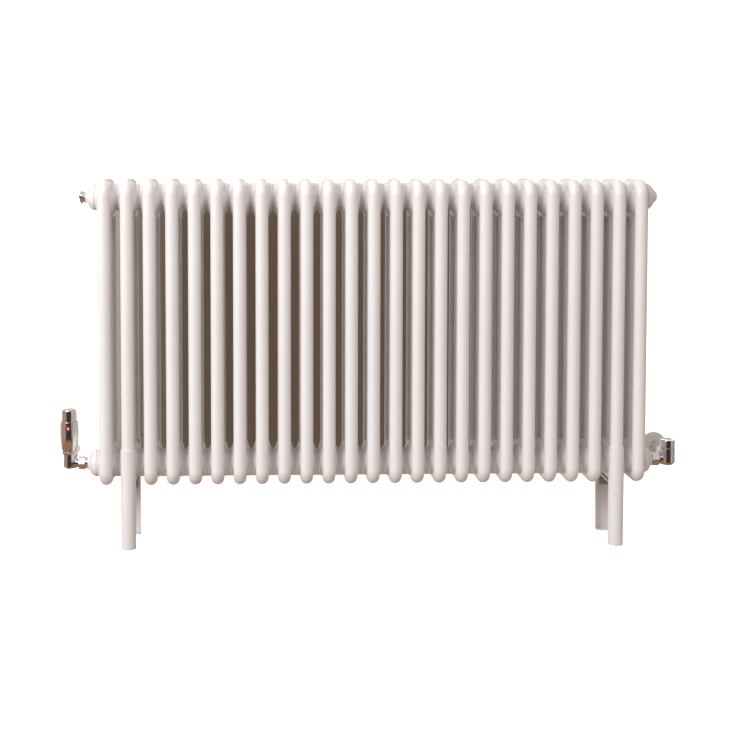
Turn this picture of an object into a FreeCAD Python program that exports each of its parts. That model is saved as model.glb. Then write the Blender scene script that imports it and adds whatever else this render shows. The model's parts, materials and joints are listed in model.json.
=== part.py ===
import FreeCAD, Part
import math
import os

os.makedirs("parts", exist_ok=True)

# Tubular steel column radiator with a thermostatic valve on its left end, a lockshield valve on its
# right end, an air vent, and slip-on feet.
# Millimetres.  +X runs along the radiator to the lockshield end, -Y is the room side, +Y the wall
# side, +Z up.  The origin is on the floor, in the middle of the four floor screw holes.

V = FreeCAD.Vector
X, Y, Z = V(1, 0, 0), V(0, 1, 0), V(0, 0, 1)

# ---- driving dimensions ----------------------------------------------------------------------
SECTION_COUNT = 25
PITCH = 45.0                 # from one section to the next
ROW_PITCH = 38.0             # from one column of tubes to the next, front to back
ROWS = 4
TUBE_R = 13.0
TUBE_WALL = 1.25
SECTION_HEIGHT = 620.0
FOOT_DROP = 126.0            # floor to the underside of the sections
BEND_R = 20.0                # centre line of the corner where a tube turns into its head
HUB_OFFSET = 37.0            # hub axis from the nearer end of the section
HUB_R = 28.0
HUB_BORE_R = 19.0
HUB_ROOM_HALF = 6.0          # half the length of the wider space between the two threaded rims
CREST_STEP = 0.8             # the round run stands this proud of the swelling around the hub
GASKET_T = 1.0               # between two hubs
FOOTED_SECTIONS = (1, 23)    # counted from 0: the second and the last but one

BUSH_LENGTH = 19.0
BUSH_TIP_R = 12.0
HALF_INCH_R = 10.0           # thread that the vent, the plug and the valve tails screw into

TRV_REACH = 58.0             # valve axis from the outer hub face
LOCKSHIELD_REACH = 54.5
ARM_REACH = 19.0             # outer end of the union nut from the valve axis
UNION_NUT_LENGTH = 14.5
UNION_NUT_R = 14.2           # across the corners
ARM_R = 10.5
INLET_RISE = 8.0             # the inlet is this much above the outlet, over the valve seat
PIPE_R = 7.5
PIPE_SLEEVE_R = 8.0          # chrome sleeve over the pipe where it shows
WALL_Y = 105.0               # wall face
PIPE_TAIL = 25.0             # pipe left standing behind the wall face
ROSETTE_R = 27.0
ROSETTE_T = 9.0

VALVE_LIFT = 1.35            # each way from the middle setting
FIT = 0.1                    # radial clearance of a sliding or turning fit
GAP = 0.35                   # space kept between a moving piece and its neighbour

FOOT_WALL = 1.7
FOOT_TOP = 202.0
FOOT_BASE_T = 3.0
FLOOR_HOLE_R = 3.25
STRAP_T = 4.0

# ---- worked out from them --------------------------------------------------------------------
BOTTOM_Z = FOOT_DROP
TOP_Z = FOOT_DROP + SECTION_HEIGHT
LOW_HUB_Z = BOTTOM_Z + HUB_OFFSET
HIGH_HUB_Z = TOP_Z - HUB_OFFSET
DEPTH_Y = ROW_PITCH * (ROWS - 1) / 2              # front and back tube axes at -/+ this
ROW_Y = [-DEPTH_Y + ROW_PITCH * row for row in range(ROWS)]
SECTION_X = [PITCH * (i - (SECTION_COUNT - 1) / 2) for i in range(SECTION_COUNT)]
HUB_HALF = (PITCH - GASKET_T) / 2
HUB_FACE_X = SECTION_X[-1] + HUB_HALF             # outer hub faces at -/+ this
BUSH_SEAT_X = HUB_FACE_X + GASKET_T
BUSH_END_X = BUSH_SEAT_X + BUSH_LENGTH
TRV_X = -(HUB_FACE_X + TRV_REACH)
LOCKSHIELD_X = HUB_FACE_X + LOCKSHIELD_REACH
VALVE_Z = LOW_HUB_Z
INLET_Z = VALVE_Z + INLET_RISE


# ---- helpers ---------------------------------------------------------------------------------
def rod(start, end, radius):
    """Solid cylinder from one point to another."""
    span = end - start
    return Part.makeCylinder(radius, span.Length, start, span)


def ring(start, end, outer, inner):
    """Straight tube from one point to another."""
    return rod(start, end, outer).cut(rod(start, end, inner))


def hexagon(start, end, corner_r):
    """Six-sided bar from one point to another, corner_r from its axis to its corners."""
    span = end - start
    side = span.cross(Z if abs(span.z) < span.Length / 2 else X).normalize()
    up = span.cross(side).normalize()
    turns = [math.radians(60 * k) for k in range(7)]
    outline = Part.makePolygon([start + side * corner_r * math.cos(t) + up * corner_r * math.sin(t)
                                for t in turns])
    return Part.Face(outline).extrude(span)


def chamfered_hexagon(start, end, corner_r):
    """A hexagon whose corners are turned down at both ends, as on a nut."""
    axis = (end - start).normalize()
    length = (end - start).Length
    low = corner_r * 0.9
    edge = corner_r * 0.1
    turned = spun(start, axis, [(0, 0), (low, 0), (corner_r, edge), (corner_r, length - edge),
                                (low, length), (0, length)])
    return hexagon(start, end, corner_r).common(turned)


def spun(base, axis, profile):
    """Solid of revolution from (radius, height along the axis) points joined by straight lines."""
    axis = V(axis).normalize()
    side = axis.cross(Y if abs(axis.y) < 0.5 else X).normalize()
    points = [base + side * r + axis * h for r, h in profile]
    outline = Part.makePolygon(points + [points[0]])
    return Part.Face(outline).revolve(base, axis, 360)


def spun_curve(base, axis, curve, rest):
    """Solid of revolution with a smooth outer curve; rest closes the outline by straight lines."""
    axis = V(axis).normalize()
    side = axis.cross(Y if abs(axis.y) < 0.5 else X).normalize()

    def place(r, h):
        return base + side * r + axis * h

    spline = Part.BSplineCurve()
    spline.interpolate([place(r, h) for r, h in curve])
    corners = [curve[-1]] + rest + [curve[0]]
    edges = [spline.toShape()]
    for (r0, h0), (r1, h1) in zip(corners, corners[1:]):
        edges.append(Part.makeLine(place(r0, h0), place(r1, h1)))
    return Part.Face(Part.Wire(edges)).revolve(base, axis, 360)


def fused(solids):
    return solids[0].multiFuse(solids[1:])


def one_solid(shape):
    """The single solid of a boolean's result."""
    solids = shape.Solids
    if len(solids) != 1:
        raise ValueError(f"expected one solid, got {len(solids)}")
    return solids[0]


def mirrored(shape):
    """The same piece at the other end of the radiator."""
    return shape.mirror(V(0, 0, 0), X)


def save(node, shape):
    solids = shape.Solids
    if not solids or not all(solid.isValid() for solid in solids):
        raise ValueError(node + " isn't a valid solid")
    shape.exportStep(f"parts/{node}.step")
    print(node, len(solids), round(shape.Volume / 1000.0, 2), "cm3")


# ---- radiator sections -----------------------------------------------------------------------
def end_head_run(radius, end_z, inward):
    """Front tube bend, the run along the head and the back tube bend.  inward is +1 below, -1 above."""
    run_z = end_z + inward * TUBE_R
    turn_z = run_z + inward * BEND_R
    turn_y = DEPTH_Y - BEND_R
    solids = [rod(V(0, -turn_y, run_z), V(0, turn_y, run_z), radius)]
    for side in (-1, 1):
        disc = Part.Face(Part.Wire(Part.makeCircle(radius, V(0, side * DEPTH_Y, turn_z), Z)))
        solids.append(disc.revolve(V(0, side * turn_y, turn_z), X, 90 * side * inward * -1))
    return solids


def flare(end_z, inward, shrink):
    """The head's swelling from the thin front column to the wide hub and back."""
    half_shapes = [(1.0, 12.0, 14.0), (0.6, 15.6, 22.5), (0.25, 20.2, 31.0),
                   (0.0, HUB_HALF - 0.3, 33.0)]       # (share of the depth, half width, half height)
    stations = [(-place, wide, tall) for place, wide, tall in half_shapes[:-1]]
    stations += [(place, wide, tall) for place, wide, tall in reversed(half_shapes)]
    wires = []
    for place, half_width, half_height in stations:
        centre = V(0, place * DEPTH_Y, end_z + inward * (half_height + CREST_STEP))
        tall = half_height - shrink
        wide = half_width - shrink
        outline = Part.Ellipse(centre + Z * tall, centre + X * wide, centre)
        wires.append(Part.Wire(outline.toShape()))
    return Part.makeLoft(wires, True, False)


def section_body(shrink):
    """Tubes and heads of one section as solids; shrink gives the space inside the walls."""
    radius = TUBE_R - shrink
    corner = TUBE_R + BEND_R
    inside_head = TUBE_R + 19.0
    solids = [rod(V(0, y, BOTTOM_Z + corner), V(0, y, TOP_Z - corner), radius)
              for y in (ROW_Y[0], ROW_Y[-1])]
    solids += [rod(V(0, y, BOTTOM_Z + inside_head), V(0, y, TOP_Z - inside_head), radius)
               for y in ROW_Y[1:-1]]
    for end_z, inward in ((BOTTOM_Z, 1), (TOP_Z, -1)):
        solids += end_head_run(radius, end_z, inward)
        solids.append(flare(end_z, inward, shrink))
    return solids


def radiator_section():
    """One section, standing at X = 0: four tubes, an upper and a lower head, hubs bored through."""
    outer = section_body(0.0)
    inner = section_body(TUBE_WALL)
    for hub_z in (LOW_HUB_Z, HIGH_HUB_Z):
        outer.append(rod(V(-HUB_HALF, 0, hub_z), V(HUB_HALF, 0, hub_z), HUB_R))
        inner.append(rod(V(-HUB_HALF - 1, 0, hub_z), V(HUB_HALF + 1, 0, hub_z), HUB_BORE_R))
        inner.append(rod(V(-HUB_ROOM_HALF, 0, hub_z), V(HUB_ROOM_HALF, 0, hub_z), HUB_R - 2.5))
    return one_solid(fused(outer).cut(fused(inner)))


def hub_joint_pieces(outer, inner, length):
    """A ring in every joint between two sections, upper and lower."""
    rings = []
    for left, right in zip(SECTION_X, SECTION_X[1:]):
        middle = (left + right) / 2
        for hub_z in (LOW_HUB_Z, HIGH_HUB_Z):
            start, end = V(middle - length / 2, 0, hub_z), V(middle + length / 2, 0, hub_z)
            rings.append(ring(start, end, outer, inner))
    return Part.makeCompound(rings)


# ---- what closes the four hub ends -----------------------------------------------------------
def at_hub_ends(piece):
    """Copies of a piece made for the lower right hub, at all four hub ends."""
    upper = piece.copy()
    upper.translate(V(0, 0, HIGH_HUB_Z - LOW_HUB_Z))
    return Part.makeCompound([piece, upper, mirrored(piece), mirrored(upper)])


def end_bush():
    """Cone-shaped bush that brings the hub's thread down to half an inch."""
    seat = V(BUSH_SEAT_X, 0, LOW_HUB_Z)
    outside = [(HUB_R, 3.0), (24.5, 9.0), (18.0, 14.0), (13.6, 16.0)]
    rest = [(BUSH_TIP_R + 1.0, BUSH_LENGTH), (0, BUSH_LENGTH), (0, 0), (HUB_R, 0)]
    shell = spun_curve(seat, X, outside, rest)
    spigot = rod(V(HUB_FACE_X - 14, 0, LOW_HUB_Z), seat + X, HUB_BORE_R - FIT)
    bore = rod(V(HUB_FACE_X - 15, 0, LOW_HUB_Z), V(BUSH_END_X + 1, 0, LOW_HUB_Z), HALF_INCH_R)
    return one_solid(shell.fuse(spigot).cut(bore).removeSplitter())


def bush_gasket():
    start = V(HUB_FACE_X, 0, LOW_HUB_Z)
    return ring(start, start + X * GASKET_T, HUB_R - 1.5, HUB_BORE_R + 0.5)


def blanking_plug():
    """Plug with a recessed hexagon, closing the upper right hub."""
    face = V(BUSH_END_X, 0, HIGH_HUB_Z)
    shank = rod(face - X * 16, face, HALF_INCH_R - FIT)
    head = spun(face, X, [(0, 0), (11.0, 0), (11.0, 1.2), (9.0, 3.2), (0, 3.2)])
    key = hexagon(face - X * 4, face + X * 4, 5.2)
    return one_solid(shank.fuse(head).cut(key).removeSplitter())


VENT_FACE = V(-BUSH_END_X, 0, HIGH_HUB_Z)
VENT_OUT = V(-1, 0, 0)


def vent_plug():
    """Vent body: threaded shank, hexagon and the tube that the nozzle turns on."""
    shank = rod(VENT_FACE - VENT_OUT * 16, VENT_FACE, HALF_INCH_R - FIT)
    flats = chamfered_hexagon(VENT_FACE, VENT_FACE + VENT_OUT * 5.0, 13.2)
    barrel = rod(VENT_FACE, VENT_FACE + VENT_OUT * 13.0, 6.5)
    screw_hole = rod(VENT_FACE + VENT_OUT * 4.0, VENT_FACE + VENT_OUT * 14.0, 4.0)
    water_way = rod(VENT_FACE - VENT_OUT * 17, VENT_FACE + VENT_OUT * 5.0, 1.8)
    return one_solid(fused([shank, flats, barrel]).cut(fused([screw_hole, water_way])))


def vent_nozzle():
    """Collar that swivels on the vent body and aims the outlet spout, at rest pointing down."""
    start = VENT_FACE + VENT_OUT * 5.4
    collar = spun(start, VENT_OUT, [(0, 0), (12.2, 0), (12.2, 5.6), (10.6, 7.2), (0, 7.2)])
    middle = start + VENT_OUT * 3.4
    spout = rod(middle, middle - Z * 15.0, 2.2)
    outlet = rod(middle - Z * 5.0, middle - Z * 16.0, 1.1)
    bore = rod(start - VENT_OUT, start + VENT_OUT * 8.0, 6.5 + FIT)
    return one_solid(collar.fuse(spout).cut(bore).cut(outlet))


def bleed_screw():
    """Screw with a square key end that opens the vent."""
    tip = VENT_FACE + VENT_OUT * 5.0
    shank = spun(tip, VENT_OUT, [(0, 0), (1.0, 0), (4.0 - FIT, 3.0), (4.0 - FIT, 7.4), (0, 7.4)])
    end = VENT_FACE + VENT_OUT * 15.0
    half = 2.5
    square = Part.makeBox(3.0, 2 * half, 2 * half, V(end.x, -half, end.z - half))
    return one_solid(shank.fuse(square).removeSplitter())


# ---- valve bodies and the fittings both valves share -----------------------------------------
def valve_waterways(centre):
    """Seat chamber, outlet and inlet passages of a corner valve; the outlet leads to +X."""
    lower = rod(centre + Z * -7, centre, 7.0)
    seat = rod(centre + Z * -1, centre + Z * 4, 5.0)
    chamber = rod(centre + Z * 3, centre + Z * 40, 9.2)
    outlet = rod(centre + V(4, 0, -4), centre + V(40, 0, -4), 4.2)
    inlet = rod(centre + V(0, 6, INLET_RISE), centre + V(0, 16, INLET_RISE), 4.6)
    socket = rod(centre + V(0, 15, INLET_RISE), centre + V(0, 40, INLET_RISE), PIPE_R + 0.05)
    return fused([lower, seat, chamber, outlet, inlet, socket])


def corner_body(centre, radius, bottom, top):
    """Corner valve body: upright barrel, outlet arm towards +X and inlet arm towards the wall."""
    outline = [(0, bottom), (radius * 0.6, bottom), (radius * 0.88, bottom + radius * 0.14),
               (radius, bottom + radius * 0.4), (radius, top), (0, top)]
    barrel = spun(centre, Z, outline)
    arm = rod(centre, centre + X * (ARM_REACH - 3.0), ARM_R)
    spigot = rod(centre, centre + X * (ARM_REACH + 9.0), ARM_R - 1.5)
    rise = V(0, 0, INLET_RISE)
    inlet = rod(centre + rise, centre + rise + Y * 20.0, ARM_R)
    thread = rod(centre + rise, centre + rise + Y * 30.0, ARM_R - 1.0)
    return one_solid(fused([barrel, arm, spigot, inlet, thread]).cut(valve_waterways(centre)))


def union_nut(reach):
    """Nut that draws a valve onto its tail; reach is the valve axis from the hub face."""
    end_x = HUB_FACE_X + reach - ARM_REACH
    start = V(end_x - UNION_NUT_LENGTH, 0, VALVE_Z)
    end = V(end_x, 0, VALVE_Z)
    nut = chamfered_hexagon(start, end, UNION_NUT_R)
    thread = rod(start + X * 3.0, end + X, ARM_R - 1.4)
    return one_solid(nut.cut(fused([thread, rod(start - X, start + X * 4, 8.6)])))


def valve_tail(reach):
    """Tail that screws into the bush; its shoulder is held by the union nut."""
    nut_start = HUB_FACE_X + reach - ARM_REACH - UNION_NUT_LENGTH
    inside = V(HUB_FACE_X - 2, 0, VALVE_Z)
    tube = rod(inside, V(nut_start + 5.0, 0, VALVE_Z), 8.4)
    thread = rod(inside, V(BUSH_END_X, 0, VALVE_Z), HALF_INCH_R - FIT)
    solids = [tube, thread]
    if nut_start - BUSH_END_X > 2.0:
        solids.append(rod(V(BUSH_END_X, 0, VALVE_Z), V(nut_start - 0.6, 0, VALVE_Z), 11.4))
    bore = rod(inside - X, V(nut_start + 6.0, 0, VALVE_Z), 6.5)
    return one_solid(fused(solids).cut(bore))


def at_both_inlets(make):
    return Part.makeCompound([make(TRV_X), make(LOCKSHIELD_X)])


def inlet_nut(x):
    start = V(x, 20.4, INLET_Z)
    nut = chamfered_hexagon(start, start + Y * 15.0, 13.8)
    thread = rod(start - Y, start + Y * 13.7, ARM_R - 0.9)
    return one_solid(nut.cut(fused([thread, rod(start, start + Y * 20, PIPE_R + FIT)])))


def inlet_olive(x):
    """Brass ring squeezed onto the pipe between the valve and its nut."""
    start = V(x, 30.1, INLET_Z)
    barrel = spun(start, Y, [(PIPE_R, 0), (8.0, 0), (9.0, 1.4), (9.0, 2.6), (8.0, 3.8), (PIPE_R, 3.8)])
    return one_solid(barrel)


def inlet_pipe(x):
    """Pipe from the valve through the wall, with its sleeve between the nut and the wall."""
    start, end = V(x, 16.4, INLET_Z), V(x, WALL_Y + PIPE_TAIL, INLET_Z)
    sleeve = rod(V(x, 36.0, INLET_Z), V(x, WALL_Y, INLET_Z), PIPE_SLEEVE_R)
    return one_solid(rod(start, end, PIPE_R).fuse(sleeve).cut(rod(start - Y, end + Y, PIPE_R - 0.8)))


def pipe_rosette():
    """Domed cover ring where the lockshield's pipe leaves the wall."""
    base = V(LOCKSHIELD_X, WALL_Y, INLET_Z)
    out = V(0, -1, 0)
    bore_r = PIPE_SLEEVE_R + FIT
    shell = spun_curve(base, out, [(ROSETTE_R, 0.8), (ROSETTE_R - 3, 3.6), (17.0, 6.6), (9.6, ROSETTE_T)],
                       [(bore_r, ROSETTE_T), (bore_r, 0), (ROSETTE_R, 0)])
    hollow = spun(base, out, [(11.0, -1), (22.5, -1), (22.5, 1.6), (16.0, 4.6), (11.0, 6.0)])
    return one_solid(shell.cut(hollow))


# ---- thermostatic valve ----------------------------------------------------------------------
TRV = V(TRV_X, 0, VALVE_Z)
HEAD_FOOT = 24.8             # underside of the head above the valve's axis
SLEEVE_TOP = 86.2
SLEEVE_WALL = 1.8
CAP_R = 15.8
CAP_TOP = 112.4
CAP_SKIRT = 67.0
SEAT = 3.0                   # valve seat above the valve's axis
DISC_REST = SEAT + GAP + VALVE_LIFT
BONNET_FLOOR = 12.0          # the spring stands on this
SHOULDER = 21.4              # the spring pushes up under this shoulder of the pin
INDEX_R = 5.2
INDEX_Z = 74.2


def trv_body():
    return corner_body(TRV, 13.1, -11.3, 19.4)


def trv_bonnet():
    """Insert that guides the pin and holds its spring."""
    shell = rod(TRV + Z * 9.6, TRV + Z * 27.0, 9.1)
    collar = rod(TRV + Z * 19.5, TRV + Z * 24.4, 12.6)
    spring_space = rod(TRV + Z * BONNET_FLOOR, TRV + Z * 28.0, 6.4)
    pin_hole = rod(TRV + Z * 9.0, TRV + Z * 13.0, 2.5 + FIT)
    return one_solid(fused([shell, collar]).cut(spring_space.fuse(pin_hole)))


def trv_pin():
    shaft = rod(TRV + Z * (DISC_REST + 0.8), TRV + Z * 33.0, 2.5)
    shoulder = rod(TRV + Z * SHOULDER, TRV + Z * (SHOULDER + 1.4), 5.6)
    return one_solid(shaft.fuse(shoulder).removeSplitter())


def trv_disc():
    """Soft disc that closes on the seat."""
    disc = rod(TRV + Z * DISC_REST, TRV + Z * (DISC_REST + 2.6), 6.6)
    return one_solid(disc.cut(rod(TRV + Z * (DISC_REST + 0.8), TRV + Z * 12, 2.5)))


def trv_spring():
    """Coil that lifts the pin off the seat."""
    wire_r = 0.5
    coil_r = 4.2
    turns = 4.5
    low = BONNET_FLOOR + wire_r + 0.15
    rise = SHOULDER - wire_r - 0.15 - low
    steps = 36
    points = []
    for step in range(steps + 1):
        angle = 2 * math.pi * turns * step / steps
        height = low + rise * step / steps
        points.append(TRV + V(coil_r * math.cos(angle), coil_r * math.sin(angle), height))
    centre_line = Part.BSplineCurve()
    centre_line.interpolate(points)
    start = Part.Wire(Part.makeCircle(wire_r, points[0], centre_line.tangent(0)[0]))
    return one_solid(Part.Wire(centre_line.toShape()).makePipeShell([start], True, True))


def trv_collar():
    """Ring nut that fixes the head to the valve."""
    return one_solid(spun(TRV, Z, [(13.2, 18.8), (14.6, 18.8), (15.4, 19.6), (15.4, 23.4),
                                   (14.6, HEAD_FOOT - 0.4), (13.2, HEAD_FOOT - 0.4)]))


def sleeve_outline(inset):
    return [(14.4 - inset, HEAD_FOOT), (17.2 - inset, 36.0), (18.9 - inset, 50.0), (19.3 - inset, 62.0),
            (19.1 - inset, 76.0), (18.5 - inset, SLEEVE_TOP)]


def trv_sleeve():
    """Fixed housing of the head, open at the top, with a pocket for the index ring."""
    solid = spun_curve(TRV, Z, sleeve_outline(0), [(0, SLEEVE_TOP), (0, HEAD_FOOT)])
    inside = sleeve_outline(SLEEVE_WALL)
    hollow = spun_curve(TRV, Z, inside[1:], [(0, SLEEVE_TOP), (0, 36.0)])
    rim = rod(TRV + Z * (SLEEVE_TOP - 2), TRV + Z * (SLEEVE_TOP + 2), CAP_R + 0.5)
    neck = rod(TRV + Z * (HEAD_FOOT - 1), TRV + Z * 37, 9.3)
    pocket = rod(TRV + V(0, -18.1, INDEX_Z), TRV + V(0, -24, INDEX_Z), INDEX_R + 0.05)
    return one_solid(solid.cut(fused([hollow, rim, neck])).cut(pocket))


def trv_index_ring():
    """Red ring set into the front of the sleeve as the pointer for the setting."""
    return ring(TRV + V(0, -18.1, INDEX_Z), TRV + V(0, -19.9, INDEX_Z), INDEX_R, 2.2)


def trv_index_dot():
    """White centre of the index ring."""
    return rod(TRV + V(0, -18.1, INDEX_Z), TRV + V(0, -19.8, INDEX_Z), 2.2 - 0.05)


def trv_cap():
    """Turning cap that sets the temperature: closed domed top, skirt inside the sleeve."""
    dome = [(CAP_R, CAP_TOP - 5.0), (CAP_R - 0.5, CAP_TOP - 2.6), (CAP_R - 2.4, CAP_TOP - 1.0),
            (9.0, CAP_TOP)]
    cap = spun_curve(TRV, Z, dome, [(0, CAP_TOP), (0, CAP_SKIRT), (CAP_R, CAP_SKIRT)])
    inside = rod(TRV + Z * (CAP_SKIRT - 1), TRV + Z * (CAP_TOP - 3.0), CAP_R - 1.8)
    return one_solid(cap.cut(inside))


def trv_carrier():
    """Threaded carrier that the cap drives up and down; it holds the sensor."""
    shell = rod(TRV + Z * 60.0, TRV + Z * 98.0, CAP_R - 1.8 - GAP)
    return one_solid(shell.cut(rod(TRV + Z * 59.0, TRV + Z * 94.0, 9.8)))


def trv_sensor():
    """Wax capsule with the piston that pushes the pin."""
    profile = [(0, 33.0), (3.0, 33.0), (3.0, 44.0), (8.0, 46.0), (9.6, 48.0), (9.6, 93.8), (0, 93.8)]
    return one_solid(spun(TRV, Z, profile))


# ---- lockshield valve ------------------------------------------------------------------------
LOCKSHIELD = V(LOCKSHIELD_X, 0, VALVE_Z)
CLOSE_CAP_R = 15.2
CLOSE_CAP_LOW = 24.4
CLOSE_CAP_TOP = 41.5


def lockshield_body():
    """The same corner valve with a stouter barrel, turned so that its outlet leads to -X."""
    centre = V(-LOCKSHIELD_X, 0, VALVE_Z)
    return mirrored(corner_body(centre, 15.6, -11.8, 24.0))


def lockshield_bonnet():
    shell = rod(LOCKSHIELD + Z * 9.6, LOCKSHIELD + Z * 34.0, 9.1)
    bore = rod(LOCKSHIELD + Z * 9.0, LOCKSHIELD + Z * 35.0, 3.2 + FIT)
    return one_solid(shell.cut(bore))


def lockshield_spindle():
    """Spindle turned with a key on its square end; its thread moves the plug below."""
    shaft = rod(LOCKSHIELD + Z * 10.2, LOCKSHIELD + Z * 34.5, 3.2)
    half = 2.2
    square = Part.makeBox(2 * half, 2 * half, 3.5, LOCKSHIELD + V(-half, -half, 34.5))
    return one_solid(shaft.fuse(square).removeSplitter())


def lockshield_plug():
    """Plug that throttles the seat."""
    low = SEAT + GAP + VALVE_LIFT
    profile = [(0, low), (6.6, low), (6.6, low + 2.2), (4.0, low + 3.2), (0, low + 3.2)]
    return one_solid(spun(LOCKSHIELD, Z, profile))


def lockshield_cap():
    """Cap that covers the spindle; it pulls off upwards."""
    top = [(CLOSE_CAP_R, CLOSE_CAP_TOP - 3.2), (CLOSE_CAP_R - 0.9, CLOSE_CAP_TOP - 0.9),
           (CLOSE_CAP_R - 3.2, CLOSE_CAP_TOP)]
    rest = [(0, CLOSE_CAP_TOP), (0, CLOSE_CAP_LOW), (CLOSE_CAP_R, CLOSE_CAP_LOW)]
    cap = spun_curve(LOCKSHIELD, Z, top, rest)
    inside = rod(LOCKSHIELD + Z * (CLOSE_CAP_LOW - 1), LOCKSHIELD + Z * (CLOSE_CAP_TOP - 2), 9.1 + GAP)
    return one_solid(cap.cut(inside))


# ---- feet ------------------------------------------------------------------------------------
FOOT_R = TUBE_R + 0.3 + FOOT_WALL
FOOT_LEG = 6.0               # straight sides of the channel behind the tube's axis
FOOT_PLATE = 13.0            # base plate reaches this far behind the tube's axis
STRAP_Z = BOTTOM_Z - STRAP_T - 0.1
STRAP_W = 20.0
STRAP_DROP = 22.0            # the strap's ends hang down this far
STRAP_END_Y = DEPTH_Y - 9.0
BOLT_DROP = 12.0


def channel(x, radius, low, high):
    """Half-round bar around the front tube's axis with straight sides towards the back."""
    round_part = rod(V(x, -DEPTH_Y, low), V(x, -DEPTH_Y, high), radius)
    front_half = Part.makeBox(2 * radius, radius, high - low, V(x - radius, -DEPTH_Y - radius, low))
    straight = Part.makeBox(2 * radius, FOOT_LEG, high - low, V(x - radius, -DEPTH_Y, low))
    return round_part.common(front_half).fuse(straight).removeSplitter()


def foot_shell(x):
    """Half-round shell that slips over the front tube and stands on the floor, with its base plate."""
    shell = channel(x, FOOT_R, 0, FOOT_TOP).cut(channel(x, FOOT_R - FOOT_WALL, -1, FOOT_TOP + 1))
    plate_half = FOOT_R - FOOT_WALL
    plate = channel(x, plate_half, 0, FOOT_BASE_T)
    tongue = Part.makeBox(2 * plate_half, FOOT_PLATE - FOOT_LEG + 1, FOOT_BASE_T,
                          V(x - plate_half, -DEPTH_Y + FOOT_LEG - 1, 0))
    bridge_y = -DEPTH_Y + FOOT_LEG - 2.5
    bridge_low = STRAP_Z - STRAP_DROP
    bridge = Part.makeBox(2 * plate_half, 2.5, STRAP_DROP - 1, V(x - plate_half, bridge_y, bridge_low))
    screw = rod(V(x, -DEPTH_Y, -1), V(x, -DEPTH_Y, FOOT_BASE_T + 1), FLOOR_HOLE_R)
    bolt_z = STRAP_Z - BOLT_DROP
    bolt = rod(V(x, bridge_y - 1, bolt_z), V(x, bridge_y + 5, bolt_z), 2.6)
    return one_solid(fused([shell, plate, tongue, bridge]).cut(screw.fuse(bolt)))


def foot_strap(x):
    """Flat bar under the lower head that carries the section and joins the two shells."""
    length = 2 * STRAP_END_Y
    half = STRAP_W / 2
    bar = Part.makeBox(STRAP_W, length, STRAP_T, V(x - half, -STRAP_END_Y, STRAP_Z))
    solids = [bar]
    for start_y in (-STRAP_END_Y, STRAP_END_Y - STRAP_T):
        corner = V(x - half, start_y, STRAP_Z - STRAP_DROP)
        solids.append(Part.makeBox(STRAP_W, STRAP_T, STRAP_DROP, corner))
    bolt_z = STRAP_Z - BOLT_DROP
    holes = rod(V(x, -STRAP_END_Y - 1, bolt_z), V(x, STRAP_END_Y + 1, bolt_z), 2.6)
    return one_solid(fused(solids).cut(holes))


def foot_bolt(x):
    """Bolt through the front shell's bridge and the strap's end."""
    z = STRAP_Z - BOLT_DROP
    head_y = -STRAP_END_Y + STRAP_T
    shank = rod(V(x, -DEPTH_Y + FOOT_LEG - 6, z), V(x, head_y, z), 2.5)
    head = chamfered_hexagon(V(x, head_y, z), V(x, head_y + 3.6, z), 4.6)
    return one_solid(shank.fuse(head).removeSplitter())


def at_both_feet(make, back=False):
    solids = [make(SECTION_X[i]) for i in FOOTED_SECTIONS]
    if back:
        solids = [solid.mirror(V(0, 0, 0), Y) for solid in solids]
    return solids


# ---- write every piece -----------------------------------------------------------------------
section = radiator_section()
for number, x in enumerate(SECTION_X, start=1):
    placed = section.copy()
    placed.translate(V(x, 0, 0))
    save(f"section_{number:02d}", placed)

save("hub_nipples", hub_joint_pieces(HUB_BORE_R - FIT, 15.5, 34.0))
save("hub_gaskets", hub_joint_pieces(HUB_R - 1.5, HUB_BORE_R + 0.5, GASKET_T))
save("end_bushes", at_hub_ends(end_bush()))
save("bush_gaskets", at_hub_ends(bush_gasket()))
save("blanking_plug", blanking_plug())
save("vent_plug", vent_plug())
save("vent_nozzle", vent_nozzle())
save("bleed_screw", bleed_screw())

save("union_nuts", Part.makeCompound([mirrored(union_nut(TRV_REACH)), union_nut(LOCKSHIELD_REACH)]))
save("valve_tails", Part.makeCompound([mirrored(valve_tail(TRV_REACH)), valve_tail(LOCKSHIELD_REACH)]))
save("inlet_nuts", at_both_inlets(inlet_nut))
save("inlet_olives", at_both_inlets(inlet_olive))
save("inlet_pipes", at_both_inlets(inlet_pipe))
save("pipe_rosette", pipe_rosette())

save("trv_body", trv_body())
save("trv_bonnet", trv_bonnet())
save("trv_pin", trv_pin())
save("trv_disc", trv_disc())
save("trv_spring", trv_spring())
save("trv_collar", trv_collar())
save("trv_sleeve", trv_sleeve())
save("trv_index_ring", trv_index_ring())
save("trv_index_dot", trv_index_dot())
save("trv_cap", trv_cap())
save("trv_carrier", trv_carrier())
save("trv_sensor", trv_sensor())

save("lockshield_body", lockshield_body())
save("lockshield_bonnet", lockshield_bonnet())
save("lockshield_spindle", lockshield_spindle())
save("lockshield_plug", lockshield_plug())
save("lockshield_cap", lockshield_cap())

save("foot_front_shells", Part.makeCompound(at_both_feet(foot_shell)))
save("foot_back_shells", Part.makeCompound(at_both_feet(foot_shell, back=True)))
save("foot_straps", Part.makeCompound(at_both_feet(foot_strap)))
save("foot_bolts", Part.makeCompound(at_both_feet(foot_bolt) + at_both_feet(foot_bolt, back=True)))
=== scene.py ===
import json
import math

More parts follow.
